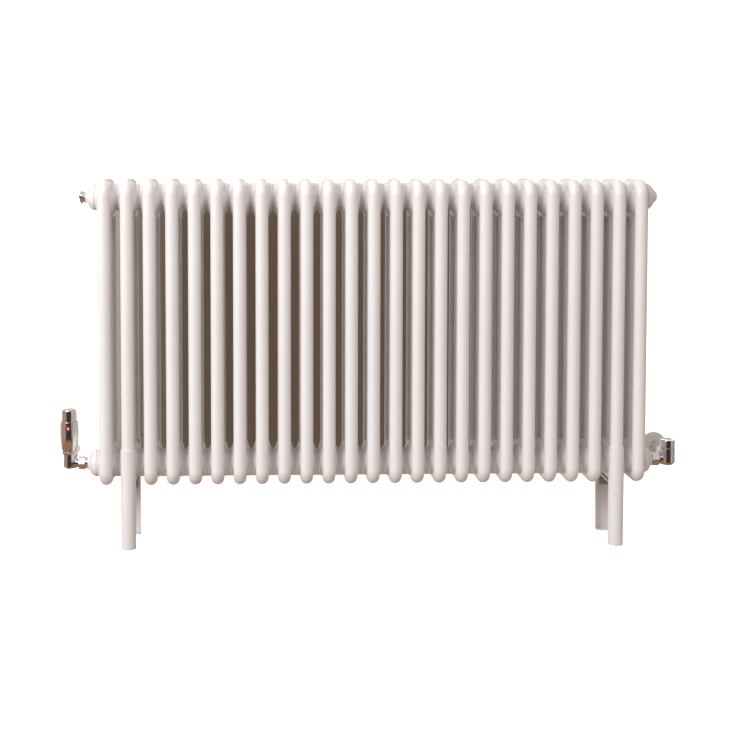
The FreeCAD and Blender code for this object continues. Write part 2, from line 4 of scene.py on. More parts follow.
import bpy
import numpy as np
from mathutils import Euler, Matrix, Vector


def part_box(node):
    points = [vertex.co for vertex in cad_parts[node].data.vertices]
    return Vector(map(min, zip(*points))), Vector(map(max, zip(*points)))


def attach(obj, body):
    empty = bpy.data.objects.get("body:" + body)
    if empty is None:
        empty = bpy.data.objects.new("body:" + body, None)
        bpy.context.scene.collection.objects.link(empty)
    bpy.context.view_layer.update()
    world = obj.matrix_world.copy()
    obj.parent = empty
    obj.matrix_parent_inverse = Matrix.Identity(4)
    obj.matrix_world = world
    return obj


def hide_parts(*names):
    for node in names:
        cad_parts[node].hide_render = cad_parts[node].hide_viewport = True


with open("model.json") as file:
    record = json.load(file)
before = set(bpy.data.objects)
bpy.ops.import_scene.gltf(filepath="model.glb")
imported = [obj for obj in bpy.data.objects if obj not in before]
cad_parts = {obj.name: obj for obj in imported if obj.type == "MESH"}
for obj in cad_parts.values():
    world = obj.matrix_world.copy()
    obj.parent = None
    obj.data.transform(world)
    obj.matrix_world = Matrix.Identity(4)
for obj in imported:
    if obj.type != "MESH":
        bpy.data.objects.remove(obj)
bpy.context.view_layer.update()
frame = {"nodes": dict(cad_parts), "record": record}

# Column radiator with a thermostatic valve, a lockshield valve, a vent and slip-on feet.
# Shapes are written in millimetres in the CAD's frame: +X to the lockshield end, -Y the room side,
# +Z up from the floor. They become metres when a mesh is made.

MM = 0.001
SECTION_X = [-540.0 + 45.0 * i for i in range(25)]
ROWS = (-57.0, -19.0, 19.0, 57.0)
TUBE_R = 13.0
LOW_HUB = 163.0
HIGH_HUB = 709.0
MIDDLE_Z = 436.0
WALL_Y = 105.0


def middle(node):
    """Middle of a CAD node's box."""
    low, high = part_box(node)
    return [(a + b) / 2 / MM for a, b in zip(low, high)]


TRV_X = middle("trv_cap")[0]
LOCKSHIELD_X = middle("lockshield_cap")[0]
ARM_REACH = 19.0                          # from a valve's axis to the outer end of its union nut
TRV_UNION = -TRV_X - ARM_REACH
LOCKSHIELD_UNION = LOCKSHIELD_X - ARM_REACH


# ---- colours and materials -------------------------------------------------------------------
class Nodes:
    """Short calls for building one node tree."""

    def __init__(self, tree):
        self.tree = tree

    def add(self, kind, **values):
        node = self.tree.nodes.new(kind)
        for name, value in values.items():
            setattr(node, name, value)
        return node

    def put(self, socket, value):
        if isinstance(value, bpy.types.NodeSocket):
            self.tree.links.new(value, socket)
        else:
            socket.default_value = value

    def maths(self, operation, a, b=0.0, c=0.0):
        node = self.add("ShaderNodeMath", operation=operation)
        for socket, value in zip(node.inputs, (a, b, c)):
            self.put(socket, value)
        return node.outputs[0]

    def blend(self, share, a, b):
        node = self.add("ShaderNodeMix", data_type="RGBA")
        self.put(node.inputs[0], share)
        self.put(node.inputs[6], a)
        self.put(node.inputs[7], b)
        return node.outputs[2]

    def span(self, value, low, high, to_low=0.0, to_high=1.0):
        node = self.add("ShaderNodeMapRange")
        node.interpolation_type = "SMOOTHSTEP"
        for socket, number in zip(node.inputs, (value, low, high, to_low, to_high)):
            self.put(socket, number)
        return node.outputs[0]

    def noise(self, vector, scale, detail=3.0, rough=0.55):
        node = self.add("ShaderNodeTexNoise")
        self.put(node.inputs["Vector"], vector)
        node.inputs["Scale"].default_value = scale
        node.inputs["Detail"].default_value = detail
        node.inputs["Roughness"].default_value = rough
        return node.outputs[0]

    def stretched(self, vector, scale):
        node = self.add("ShaderNodeMapping")
        self.put(node.inputs["Vector"], vector)
        node.inputs["Scale"].default_value = scale
        return node.outputs[0]


def rgb(red, green, blue):
    return (red, green, blue, 1.0)


def finish_material(name, base, spread, rough, metallic=0.0, patches=14.0, patch_depth=0.5, grain=900.0,
                    grain_depth=0.00004, grain_stretch=(1, 1, 1), edge=None, edge_share=0.6, dust_and_shade=None,
                    coat=0.0, coat_rough=0.1, specular=0.5, anisotropic=0.0):
    """A surface with patchy colour, uneven gloss, a fine relief, wear on edges, and a dusty, darker tint in concave
    corners that is partly painted shade.

    base and spread are the two colours that the patches run between; rough is its low and high value."""
    material = bpy.data.materials.new(name)
    material.use_nodes = True
    nodes = Nodes(material.node_tree)
    shader = material.node_tree.nodes["Principled BSDF"]
    geometry = nodes.add("ShaderNodeNewGeometry")
    place = nodes.add("ShaderNodeTexCoord").outputs["Object"]
    broad = nodes.noise(place, patches, 4.0)
    fine = nodes.noise(nodes.stretched(place, grain_stretch), grain, 2.0)
    smear = nodes.noise(nodes.stretched(place, (1.0, 1.0, 0.35)), patches * 5.0, 3.0)

    colour = nodes.blend(nodes.span(broad, 0.32, 0.68, 0.0, patch_depth), base, spread)
    colour = nodes.blend(nodes.span(fine, 0.45, 0.75, 0.0, 0.25), colour, spread)
    if edge is not None:
        worn = nodes.span(geometry.outputs["Pointiness"], 0.53, 0.62)
        worn = nodes.maths("MULTIPLY", worn, nodes.span(smear, 0.4, 0.6, 0.3, edge_share))
        colour = nodes.blend(worn, colour, edge)
    if dust_and_shade is not None:
        # darker, dusty tint in concave corners where Pointiness is low; on the enamel it is also painted shade in the
        # creases between parts
        corner = nodes.span(geometry.outputs["Pointiness"], 0.40, 0.485, 0.5, 0.0)
        colour = nodes.blend(nodes.maths("MULTIPLY", corner, nodes.span(broad, 0.3, 0.7, 0.4, 1.0)), colour, dust_and_shade)
    nodes.put(shader.inputs["Base Color"], colour)

    gloss = nodes.span(smear, 0.3, 0.7, rough[0], rough[1])
    nodes.put(shader.inputs["Roughness"], nodes.maths("ADD", gloss, nodes.maths("MULTIPLY", fine, 0.03)))

    relief = nodes.add("ShaderNodeBump")
    relief.inputs["Strength"].default_value = 1.0
    relief.inputs["Distance"].default_value = grain_depth
    nodes.put(relief.inputs["Height"], nodes.maths("ADD", fine, nodes.maths("MULTIPLY", smear, 1.5)))
    nodes.put(shader.inputs["Normal"], relief.outputs[0])
    shader.inputs["Metallic"].default_value = metallic
    shader.inputs["Specular IOR Level"].default_value = specular
    shader.inputs["Coat Weight"].default_value = coat
    shader.inputs["Coat Roughness"].default_value = coat_rough
    shader.inputs["Anisotropic"].default_value = anisotropic
    return material


# the enamel's dusty corner tint is brownish so that it also paints the shade in the creases between the columns
PAINT = dict(rough=(0.24, 0.36), patches=5.0, patch_depth=0.6, grain=520.0, grain_depth=0.00006,
             dust_and_shade=rgb(0.62, 0.53, 0.47), edge=rgb(0.93, 0.91, 0.90), edge_share=0.5, coat=0.25, coat_rough=0.16)
CHROME = dict(rough=(0.035, 0.11), metallic=1.0, patches=60.0, patch_depth=0.5, grain=2600.0,
              grain_depth=0.000004, edge=rgb(0.93, 0.92, 0.91), dust_and_shade=rgb(0.40, 0.35, 0.32))

LOOKS = {
    "radiator_paint": finish_material(
        "white_enamel", rgb(0.875, 0.845, 0.835), rgb(0.835, 0.80, 0.785), **PAINT),
    "foot_paint": finish_material(
        "foot_enamel", rgb(0.87, 0.84, 0.83), rgb(0.82, 0.78, 0.765),
        **{**PAINT, "patches": 9.0, "grain": 700.0}),
    "zinc_steel": finish_material(
        "zinc_plated_steel", rgb(0.56, 0.57, 0.57), rgb(0.40, 0.40, 0.39), rough=(0.32, 0.5), metallic=1.0,
        patches=80.0, patch_depth=0.8, grain=1500.0, grain_depth=0.00002, edge=rgb(0.72, 0.72, 0.70)),
    "gasket": finish_material(
        "painted_gasket", rgb(0.72, 0.68, 0.66), rgb(0.55, 0.49, 0.45), rough=(0.45, 0.65), patches=120.0,
        patch_depth=0.7, grain=3000.0, grain_depth=0.00006, specular=0.4),
    "chrome_valve": finish_material(
        "chrome_on_forged_brass", rgb(0.80, 0.78, 0.77), rgb(0.70, 0.67, 0.65), **{**CHROME, "rough": (0.05, 0.15)}),
    "chrome_head": finish_material(
        "chrome_on_head", rgb(0.82, 0.80, 0.79), rgb(0.72, 0.69, 0.68), **CHROME),
    "chrome_vent": finish_material(
        "chrome_on_vent", rgb(0.80, 0.79, 0.78), rgb(0.68, 0.66, 0.64), **{**CHROME, "rough": (0.07, 0.18)}),
    "chrome_pipe": finish_material(
        "chrome_on_pipe", rgb(0.80, 0.79, 0.78), rgb(0.70, 0.68, 0.67),
        **{**CHROME, "grain": 900.0, "grain_stretch": (1.0, 0.05, 1.0), "rough": (0.05, 0.13)}),
    "brass": finish_material(
        "turned_brass", rgb(0.76, 0.56, 0.27), rgb(0.58, 0.39, 0.17), rough=(0.2, 0.4), metallic=1.0,
        patches=90.0, patch_depth=0.8, grain=1800.0, grain_stretch=(0.2, 0.2, 1.0), grain_depth=0.00002,
        edge=rgb(0.88, 0.72, 0.42), dust_and_shade=rgb(0.25, 0.16, 0.08)),
    "stainless": finish_material(
        "drawn_stainless", rgb(0.60, 0.59, 0.57), rgb(0.48, 0.47, 0.45), rough=(0.18, 0.32), metallic=1.0,
        patches=110.0, patch_depth=0.6, grain=2200.0, grain_stretch=(1.0, 1.0, 0.1), grain_depth=0.00001,
        edge=rgb(0.75, 0.74, 0.72), anisotropic=0.4),
    "seal_rubber": finish_material(
        "seal_rubber", rgb(0.022, 0.021, 0.020), rgb(0.045, 0.043, 0.040), rough=(0.55, 0.75), patches=150.0,
        patch_depth=0.8, grain=3000.0, grain_depth=0.00003, specular=0.35),
    "carrier_plastic": finish_material(
        "carrier_plastic", rgb(0.71, 0.69, 0.64), rgb(0.62, 0.60, 0.55), rough=(0.38, 0.5), patches=60.0,
        patch_depth=0.5, grain=1600.0, grain_depth=0.00003, dust_and_shade=rgb(0.4, 0.37, 0.32)),
    "rosette_plastic": finish_material(
        "rosette_plastic", rgb(0.80, 0.78, 0.77), rgb(0.72, 0.70, 0.69), rough=(0.22, 0.34), patches=45.0,
        patch_depth=0.5, grain=1400.0, grain_depth=0.00002, dust_and_shade=rgb(0.5, 0.45, 0.41), coat=0.2),
    "index_red": finish_material(
        "index_red_enamel", rgb(0.22, 0.012, 0.012), rgb(0.15, 0.008, 0.010), rough=(0.18, 0.3), patches=200.0,
        patch_depth=0.7, grain=2600.0, grain_depth=0.00001, edge=rgb(0.38, 0.05, 0.04), coat=0.5),
    "index_white": finish_material(
        "index_white_enamel", rgb(0.82, 0.80, 0.78), rgb(0.72, 0.69, 0.66), rough=(0.2, 0.32), patches=220.0,
        patch_depth=0.7, grain=2600.0, grain_depth=0.00001, coat=0.4),
}
NODE_SLOTS = {part["node"]: part["material_slot"] for part in frame["record"]["subparts"]}


# ---- turning a shape into a piece ------------------------------------------------------------
def new_mesh(name, points, faces):
    mesh = bpy.data.meshes.new(name)
    mesh.from_pydata((np.asarray(points) * MM).tolist(), [], [tuple(f) for f in faces])
    mesh.validate()
    mesh.shade_smooth()
    return mesh


def piece(name, mesh, body, slot, *replaced, at=(0, 0, 0)):
    """Puts a mesh on a body, in its slot's material, in place of the CAD nodes it stands for."""
    thing = bpy.data.objects.new(name, mesh)
    bpy.context.scene.collection.objects.link(thing)
    thing.location = Vector(at) * MM
    if not mesh.materials:
        mesh.materials.append(LOOKS[slot])
    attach(thing, body)
    if replaced:
        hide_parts(*replaced)
    return thing


def joined(*shapes):
    """Several (points, faces) as one."""
    points, faces, count = [], [], 0
    for shape_points, shape_faces in shapes:
        points.append(np.asarray(shape_points, float))
        faces += [tuple(i + count for i in face) for face in shape_faces]
        count += len(shape_points)
    return np.concatenate(points), faces


# ---- turned and hexagonal shapes -------------------------------------------------------------
def softened(profile, radius, closed):
    """The profile with its sharp corners replaced by small arcs."""
    out = []
    count = len(profile)
    for i, point in enumerate(profile):
        if not closed and i in (0, count - 1):
            out.append(point)
            continue
        here = np.array(point[:2], float)
        before = np.array(profile[i - 1][:2], float) - here
        after = np.array(profile[(i + 1) % count][:2], float) - here
        reach_before, reach_after = np.linalg.norm(before), np.linalg.norm(after)
        cosine = np.dot(before, after) / (reach_before * reach_after)
        if cosine < -0.90:
            out.append(point)
            continue
        cut = min(radius, 0.45 * reach_before, 0.45 * reach_after)
        start, end = here + before / reach_before * cut, here + after / reach_after * cut
        for t in (0.0, 0.25, 0.5, 0.75, 1.0):
            arc = (1 - t) ** 2 * start + 2 * t * (1 - t) * here + t ** 2 * end
            out.append((arc[0], arc[1], *point[2:]))
    return out


def curve_through(points, steps):
    """Smooth line through (radius, height) points."""
    p = np.array(points, float)
    p = np.concatenate([[2 * p[0] - p[1]], p, [2 * p[-1] - p[-2]]])
    out = []
    for i in range(1, len(p) - 2):
        a, b, c, d = p[i - 1:i + 3]
        for t in np.arange(steps) / steps:
            out.append(tuple(0.5 * (2 * b + (c - a) * t + (2 * a - 5 * b + 4 * c - d) * t ** 2
                                    + (3 * b - a - 3 * c + d) * t ** 3)))
    out.append(tuple(p[-2]))
    return out


def hexagon_share(angles):
    """Distance to a hexagon's side at each angle, with its corners at 1."""
    return math.cos(math.pi / 6) / np.cos((angles + math.pi / 6) % (math.pi / 3) - math.pi / 6)


def turned(profile, base, axis, closed=False, segments=96, flutes=None):
    """(points, faces) of a shape turned about axis from base.

    The profile is (radius, height) or (radius, height, hexagon corner radius); where a corner radius
    is given, the shape is the hexagon cut back to the radius. An open profile starts and ends on the axis.
    flutes is (count, depth, lowest height, highest height) of a grip."""
    axis = Vector(axis).normalized()
    side = axis.cross(Vector((0, 1, 0)) if abs(axis.y) < 0.5 else Vector((1, 0, 0))).normalized()
    up = axis.cross(side)
    angles = np.arange(segments) * 2 * math.pi / segments
    round_points = np.outer(np.cos(angles), np.array(side)) + np.outer(np.sin(angles), np.array(up))
    flat = hexagon_share(angles)
    base, along = np.array(base, float), np.array(axis)
    points, rings = [], []
    for entry in profile:
        radius, height = entry[0], entry[1]
        centre = base + along * height
        if radius < 1e-6:
            rings.append([len(points)])
            points.append(centre)
            continue
        radii = np.full(segments, float(radius))
        if len(entry) > 2 and entry[2]:
            radii = np.minimum(radii, entry[2] * flat)
        if flutes and flutes[2] <= height <= flutes[3]:
            radii = radii - flutes[1] * (0.5 - 0.5 * np.cos(angles * flutes[0]))
        rings.append(list(range(len(points), len(points) + segments)))
        points.extend(centre + round_points * radii[:, None])
    pairs = list(zip(rings, rings[1:]))
    if closed:
        pairs.append((rings[-1], rings[0]))
    faces = []
    for low, high in pairs:
        for i in range(segments):
            j = (i + 1) % segments
            if len(low) == 1:
                faces.append((low[0], high[j], high[i]))
            elif len(high) == 1:
                faces.append((low[i], low[j], high[0]))
            else:
                faces.append((low[i], low[j], high[j], high[i]))
    return outward(np.array(points), faces)


def outward(points, faces):
    """Turns every face round if the closed shape is inside out."""
    total = 0.0
    for face in faces:
        a, b, c = points[face[0]], points[face[1]], points[face[2]]
        total += np.dot(a, np.cross(b, c))
        if len(face) == 4:
            total += np.dot(a, np.cross(c, points[face[3]]))
    return (points, [tuple(reversed(face)) for face in faces]) if total < 0 else (points, faces)


def nut_profile(length, corner, bore, start=0.0):
    """Closed profile of a hexagon nut with both ends turned down."""
    drop = 1.5
    rise = corner * 0.1
    low = [(corner - drop * (1 - t), start + rise * t, corner * 0.995) for t in (0.0, 0.2, 0.4, 0.6, 0.8, 1.0)]
    high = [(r, 2 * start + length - h, c) for r, h, c in reversed(low)]
    return [(bore, start)] + low + high + [(bore, start + length), ]


def evened(thing):
    """Shades flat areas flat and only the rounded corners round."""
    thing.modifiers.new("even shading", "WEIGHTED_NORMAL").weight = 80
    return thing


# ---- shapes from distance fields -------------------------------------------------------------
def length(*parts):
    return np.sqrt(sum(part * part for part in parts))


def smooth_union(a, b, reach):
    share = np.clip(0.5 + 0.5 * (b - a) / reach, 0, 1)
    return b * (1 - share) + a * share - reach * share * (1 - share)


def round_bar(along, low, high, sideways, radius, corner):
    """Distance to a cylinder from low to high whose edges are rounded by corner."""
    out = sideways - radius + corner
    end = np.abs(along - (low + high) / 2) - (high - low) / 2 + corner
    return length(np.maximum(out, 0), np.maximum(end, 0)) + np.minimum(np.maximum(out, end), 0) - corner


def round_box(x, y, z, low, high, corner):
    parts = [np.abs(v - (a + b) / 2) - (b - a) / 2 + corner for v, a, b in zip((x, y, z), low, high)]
    outside = length(*[np.maximum(part, 0) for part in parts])
    return outside + np.minimum(np.maximum(np.maximum(parts[0], parts[1]), parts[2]), 0) - corner


def surface(field, xs, ys, zs):
    """(points, faces) of the surface where field(x, y, z) is zero, on a grid with uneven steps."""
    axes = [np.asarray(a, float) for a in (xs, ys, zs)]
    grid = np.meshgrid(*axes, indexing="ij")
    value = field(*grid)
    cells = tuple(n - 1 for n in value.shape)
    total = np.zeros((int(np.prod(cells)), 3))
    count = np.zeros(int(np.prod(cells)))
    crossings = []
    for axis in range(3):
        near = [slice(None)] * 3
        far = [slice(None)] * 3
        near[axis], far[axis] = slice(None, -1), slice(1, None)
        before, after = value[tuple(near)], value[tuple(far)]
        where = np.nonzero((before < 0) != (after < 0))
        share = before[where] / (before[where] - after[where])
        spot = np.stack([axes[k][where[k]] for k in range(3)], -1)
        spot[:, axis] += share * (axes[axis][where[axis] + 1] - axes[axis][where[axis]])
        others = [k for k in range(3) if k != axis]
        around = []
        for first, second in ((0, 0), (1, 0), (1, 1), (0, 1)):
            index = list(where)
            index[others[0]] = index[others[0]] - first
            index[others[1]] = index[others[1]] - second
            around.append(np.ravel_multi_index(index, cells))
            for k in range(3):
                total[:, k] += np.bincount(around[-1], spot[:, k], len(count))
            count += np.bincount(around[-1], minlength=len(count))
        crossings.append((np.stack(around, -1), (before[where] < 0) != (axis == 1)))
    used = np.nonzero(count)[0]
    number = np.full(len(count), -1)
    number[used] = np.arange(len(used))
    points = total[used] / count[used][:, None]
    faces = []
    for around, forward in crossings:
        quads = number[around]
        quads[~forward] = quads[~forward][:, ::-1]
        faces.append(quads)
    return points, np.concatenate(faces)


def slope(field, points, step=0.05):
    parts = []
    for k in range(3):
        shift = np.zeros(3)
        shift[k] = step
        parts.append(field(*(points + shift).T) - field(*(points - shift).T))
    gradient = np.stack(parts, -1)
    return gradient / (2 * step)


def field_mesh(name, field, xs, ys, zs):
    """A mesh drawn onto the field's surface, with the field's own normals."""
    points, faces = surface(field, xs, ys, zs)
    for _ in range(2):
        gradient = slope(field, points)
        size = np.maximum((gradient ** 2).sum(-1), 0.2)
        move = gradient * (field(*points.T) / size)[:, None]
        reach = np.maximum(np.linalg.norm(move, axis=1), 1e-9)
        points = points - move * np.minimum(1.0, 0.6 / reach)[:, None]
    mesh = new_mesh(name, points, faces)
    normals = slope(field, points)
    normals /= np.maximum(np.linalg.norm(normals, axis=1), 1e-9)[:, None]
    mesh.normals_split_custom_set_from_vertices(normals.tolist())
    return mesh


def steps(low, high, size):
    return np.linspace(low, high, max(2, int(round((high - low) / size)) + 1))


def chain(*runs):
    """Grid lines from several runs, each once."""
    return np.unique(np.round(np.concatenate(runs), 4))


# ---- radiator sections -----------------------------------------------------------------------
def section_field(x, y, z):
    """Four columns, the two pressed heads and the hubs of one section."""
    z = np.abs(z - MIDDLE_Z)                      # both ends are alike
    run = 297.0
    bend = 20.0
    out_y = np.abs(y) - 57.0 + bend
    out_z = z - run + bend
    line = length(np.maximum(out_y, 0), np.maximum(out_z, 0)) + np.minimum(np.maximum(out_y, out_z), 0) - bend
    outer_tubes = length(x, line) - TUBE_R
    inner_tubes = np.maximum(length(x, np.abs(y) - 19.0) - TUBE_R, z - 285.0)
    swell = np.maximum(np.cos(np.clip(np.abs(y) / 57.0, 0, 1) * math.pi / 2), 0)
    wide = 12.2 + 9.9 * swell ** 0.8
    tall = 20.0 + 18.0 * swell ** 0.8
    p, q = x / wide, (z - 264.0) / tall
    near = length(p, q)
    head = near * (near - 1.0) / np.maximum(length(p / wide, q / tall), 1e-6)
    head = np.maximum(head, np.abs(y) - 57.0)
    body = smooth_union(outer_tubes, head, 2.4)
    body = smooth_union(body, inner_tubes, 6.0)
    from_hub = length(y, z - 273.0)
    hub = round_bar(x, -22.4, 22.4, from_hub, 28.0, 0.9)
    body = smooth_union(body, hub, 2.4)
    return np.maximum(body, 18.8 - from_hub)


CELL = 1.9
head_lines = steps(124.0, 208.0, CELL)
tube_lines = steps(208.0, MIDDLE_Z, 38.0)
lower_half = np.concatenate([head_lines, tube_lines])
section_mesh = field_mesh("section", section_field, steps(-23.2, 23.2, CELL), steps(-73.0, 73.0, CELL),
                          chain(lower_half, 2 * MIDDLE_Z - lower_half))
for number, x in enumerate(SECTION_X, start=1):
    node = f"section_{number:02d}"
    piece(f"column_section_{number:02d}", section_mesh, "radiator", "radiator_paint", node, at=(x, 0, 0))


# ---- what closes the hub ends ----------------------------------------------------------------
BUSH_SEAT = 563.0
BUSH_END = 582.0
bush_profile = softened(
    [(28.0, 0.0), (28.0, 3.0)] + curve_through([(27.7, 3.4), (24.5, 9.0), (18.0, 14.0), (13.9, 16.0)], 5)
    + [(13.2, 19.0), (10.0, 19.0), (10.0, -14.0), (18.6, -14.0), (18.6, 0.0)], 0.7, True)
bushes = [turned(bush_profile, (side * BUSH_SEAT, 0, z), (side, 0, 0), True) for side in (-1, 1)
          for z in (LOW_HUB, HIGH_HUB)]
evened(piece("end_bush_set", new_mesh("end_bush_set", *joined(*bushes)), "radiator", "radiator_paint", "end_bushes"))

plug_profile = ([(0, -15.0)] + softened([(9.8, -15.0), (9.8, 0.05), (11.0, 0.05), (11.0, 1.3), (9.2, 3.2),
                                         (5.6, 3.2), (5.2, 2.8, 5.2), (5.2, -4.0, 5.2)], 0.35, True)
                + [(0, -4.0)])
evened(piece("upper_plug", new_mesh("upper_plug", *turned(plug_profile, (BUSH_END, 0, HIGH_HUB), (1, 0, 0))),
             "radiator", "radiator_paint", "blanking_plug"))

OUT = (-1, 0, 0)
VENT_FACE = (-BUSH_END, 0, HIGH_HUB)
vent_profile = [(1.8, -15.5)] + softened([(9.8, -15.5), (9.8, 0.1)], 0.3, False)
vent_profile += [(r, h, c) for r, h, c in nut_profile(4.8, 13.1, 9.8, 0.1)[1:-1]]
vent_profile += softened([(6.5, 4.9), (6.5, 13.0), (4.0, 13.0), (4.0, 4.2), (1.8, 4.2)], 0.25, False)
evened(piece("vent_hexagon", new_mesh("vent_hexagon", *turned(vent_profile, VENT_FACE, OUT, True)),
             "radiator", "chrome_vent", "vent_plug"))


def nozzle_field(x, y, z):
    """Swivelling collar of the vent with its spout pointing down."""
    out = -x - BUSH_END - 5.4
    around = length(y, z - HIGH_HUB)
    collar = np.maximum(round_bar(out, 0.0, 7.2, around, 12.2, 0.8), (around + out * 0.9 - 16.2) * 0.75)
    spout = round_bar(z, HIGH_HUB - 15.0, HIGH_HUB - 8.0, length(out - 3.4, y), 2.25, 0.4)
    body = smooth_union(collar, spout, 1.4)
    body = np.maximum(body, 6.6 - around)
    jet = np.maximum(length(out - 3.4, y) - 1.1, z - HIGH_HUB + 5.0)
    return np.maximum(body, -jet)


piece("vent_swivel", field_mesh("vent_swivel", nozzle_field, steps(-595.4, -586.6, 0.42), steps(-13.0, 13.0, 0.5),
                                steps(693.2, 722.0, 0.5)), "vent_nozzle_group", "chrome_vent", "vent_nozzle")


# ---- fittings shared by the two valves -------------------------------------------------------
UNION = 14.5
union_shapes = []
for side, end in ((-1, TRV_UNION), (1, LOCKSHIELD_UNION)):
    profile = nut_profile(UNION, 14.1, 9.2, -UNION)
    union_shapes.append(turned(profile, (side * end, 0, LOW_HUB), (side, 0, 0), True))
evened(piece("union_nut_pair", new_mesh("union_nut_pair", *joined(*union_shapes)), "radiator", "chrome_valve",
             "union_nuts"))

tail_shapes = []
for side, end in ((-1, TRV_UNION), (1, LOCKSHIELD_UNION)):
    nut_start = end - UNION
    shoulder = []
    if nut_start - BUSH_END > 2.0:
        shoulder = [(11.4, BUSH_END + 0.05), (11.4, nut_start - 0.5)]
    outline = ([(6.5, 560.0), (9.8, 560.0), (9.8, BUSH_END if shoulder else nut_start)] + shoulder
               + [(8.4, nut_start - 0.5 if shoulder else nut_start), (8.4, nut_start + 5.0), (6.5, nut_start + 5.0)])
    tail_shapes.append(turned(softened(outline, 0.4, True), (0, 0, LOW_HUB), (side, 0, 0), True))
evened(piece("valve_tail_pair", new_mesh("valve_tail_pair", *joined(*tail_shapes)), "radiator", "chrome_valve",
             "valve_tails"))

INLET_Z = 171.0
inlet_shapes = [turned(nut_profile(15.0, 13.7, 9.8, 20.4)[:-1] + [(8.3, 35.4), (8.3, 34.2), (9.8, 34.2)],
                       (x, 0, INLET_Z), (0, 1, 0), True) for x in (TRV_X, LOCKSHIELD_X)]
evened(piece("inlet_nut_pair", new_mesh("inlet_nut_pair", *joined(*inlet_shapes)), "radiator", "chrome_valve",
             "inlet_nuts"))

rosette_profile = softened(
    curve_through([(27.0, 0.9), (24.0, 3.6), (17.0, 6.6), (9.6, 9.0)], 6)
    + [(8.15, 9.0), (8.15, 0.0), (11.0, 0.0), (11.0, 6.0), (16.0, 4.4), (22.4, 1.4), (22.4, 0.0), (27.0, 0.0)],
    0.5, True)
rosette = turned(rosette_profile, (LOCKSHIELD_X, WALL_Y, INLET_Z), (0, -1, 0), True)
evened(piece("wall_rosette", new_mesh("wall_rosette", *rosette), "radiator", "rosette_plastic", "pipe_rosette"))


def corner_valve(radius, bottom, top):
    """Field of a corner valve around its own centre: barrel, arm towards +X, inlet towards +Y."""
    def field(x, y, z):
        barrel = round_bar(z, bottom, top, length(x, y), radius, 0.9)
        barrel = np.maximum(barrel, (bottom - z) * 0.74 + (length(x, y) - radius * 0.60) * 0.66)
        arm = round_bar(x, 0.0, ARM_REACH - 3.0, length(y, z), 10.5, 0.7)
        spigot = round_bar(x, 0.0, ARM_REACH + 9.0, length(y, z), 9.0, 0.5)
        inlet = round_bar(y, 0.0, 20.0, length(x, z - 8.0), 10.5, 0.7)
        thread = round_bar(y, 0.0, 30.0, length(x, z - 8.0), 9.5, 0.4)
        body = smooth_union(smooth_union(barrel, arm, 3.0), inlet, 3.0)
        body = np.minimum(np.minimum(body, spigot), thread)
        chamber = np.maximum(length(x, y) - 9.2, 3.0 - z)
        socket = np.maximum(length(x, z - 8.0) - 7.6, 15.0 - y)
        outlet = np.maximum(length(y, z) - 4.2, 12.0 - x)
        return np.maximum(np.maximum(body, -chamber), np.maximum(-socket, -outlet))
    return field


def placed(field, x0, flip):
    """The field moved to a valve's place; flip turns its arm towards -X."""
    return lambda x, y, z: field((x - x0) * flip, y, z - LOW_HUB)


BODY_CELL = 0.75
trv_field = placed(corner_valve(13.1, -11.3, 19.4), TRV_X, 1)
piece("trv_corner_body", field_mesh("trv_corner_body", trv_field, steps(TRV_X - 13.9, TRV_X + 28.9, BODY_CELL),
                                    steps(-14.0, 31.0, BODY_CELL), steps(150.8, 183.4, BODY_CELL)),
      "radiator", "chrome_valve", "trv_body")
lockshield_field = placed(corner_valve(15.6, -11.8, 24.0), LOCKSHIELD_X, -1)
piece("lockshield_corner_body", field_mesh("lockshield_corner_body", lockshield_field,
                                           steps(LOCKSHIELD_X - 28.6, LOCKSHIELD_X + 16.6, BODY_CELL),
                                           steps(-16.4, 31.0, BODY_CELL), steps(150.4, 187.9, BODY_CELL)),
      "radiator", "chrome_valve", "lockshield_body")


# ---- thermostatic head -----------------------------------------------------------------------
TRV = (TRV_X, 0, LOW_HUB)
UP = (0, 0, 1)
collar_profile = softened([(13.2, 18.8), (14.6, 18.8), (15.4, 19.6), (15.4, 23.5), (14.6, 24.4), (13.2, 24.4)],
                          0.35, True)
evened(piece("trv_ring_nut", new_mesh("trv_ring_nut", *turned(
    collar_profile, TRV, UP, True, 288, (48, 0.35, 19.6, 23.5))), "radiator", "chrome_head", "trv_collar"))

sleeve_line = [(14.4, 24.8), (17.2, 36.0), (18.9, 50.0), (19.3, 62.0), (19.1, 76.0), (18.5, 86.2)]
sleeve_outer = curve_through(sleeve_line, 8)
sleeve_inner = curve_through([(r - 1.8, h) for r, h in sleeve_line[1:5]] + [(16.9, 83.0)], 6)
sleeve_profile = softened([(9.3, 24.8)] + sleeve_outer + [(16.35, 86.2), (16.35, 84.4)]
                          + list(reversed(sleeve_inner)) + [(9.3, 36.0)], 0.45, True)
piece_mesh = new_mesh("trv_head_sleeve", *turned(sleeve_profile, TRV, UP, True, 128))
evened(piece("trv_head_sleeve", piece_mesh, "radiator", "chrome_head", "trv_sleeve"))

CAP_TOP = 112.4
crown_line = [(4.5, -0.02), (9.0, -0.25), (13.0, -1.3), (15.2, -3.2), (15.8, -6.0)]
cap_profile = ([(0, CAP_TOP)] + curve_through([(r, CAP_TOP + h) for r, h in crown_line], 6)
               + softened([(15.8, CAP_TOP - 6.0), (15.8, 67.0), (14.0, 67.0), (14.0, CAP_TOP - 3.0)], 0.4, True)[4:-1]
               + [(13.2, CAP_TOP - 3.0), (0, CAP_TOP - 3.0)])
evened(piece("trv_turning_cap", new_mesh("trv_turning_cap", *turned(cap_profile, TRV, UP, False, 128)),
             "trv_cap_group", "chrome_head", "trv_cap"))


